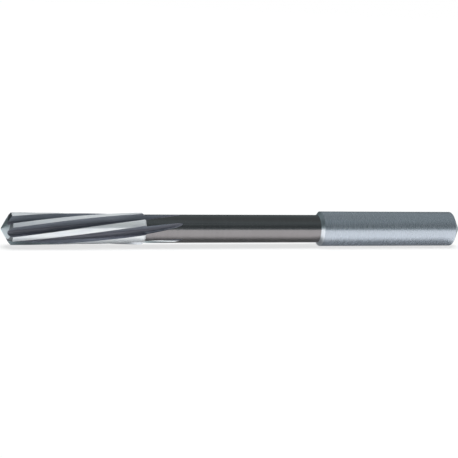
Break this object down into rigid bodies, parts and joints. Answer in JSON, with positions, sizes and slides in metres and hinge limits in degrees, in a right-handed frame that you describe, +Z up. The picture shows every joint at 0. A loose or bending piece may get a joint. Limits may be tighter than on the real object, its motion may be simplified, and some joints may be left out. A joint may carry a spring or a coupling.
{
  "type": "machine reamer",
  "caption": "Solid machine reamer with left-hand helical teeth, a male centre at each end, a reduced neck and a plain straight shank.",
  "frame": {"origin": "on the tool's axis at the middle of the shank", "axes": "+X along the axis from the cutting tip to the shank end, +Z up, +Y completes the right-handed frame"},
  "size_m": [0.109, 0.008, 0.008],
  "materials": {
    "reamer": "ground high-speed steel, darker on the neck and in the flutes"
  },
  "bodies": {
    "root": {"reamer": "reamer"}
  },
  "joints": []
}
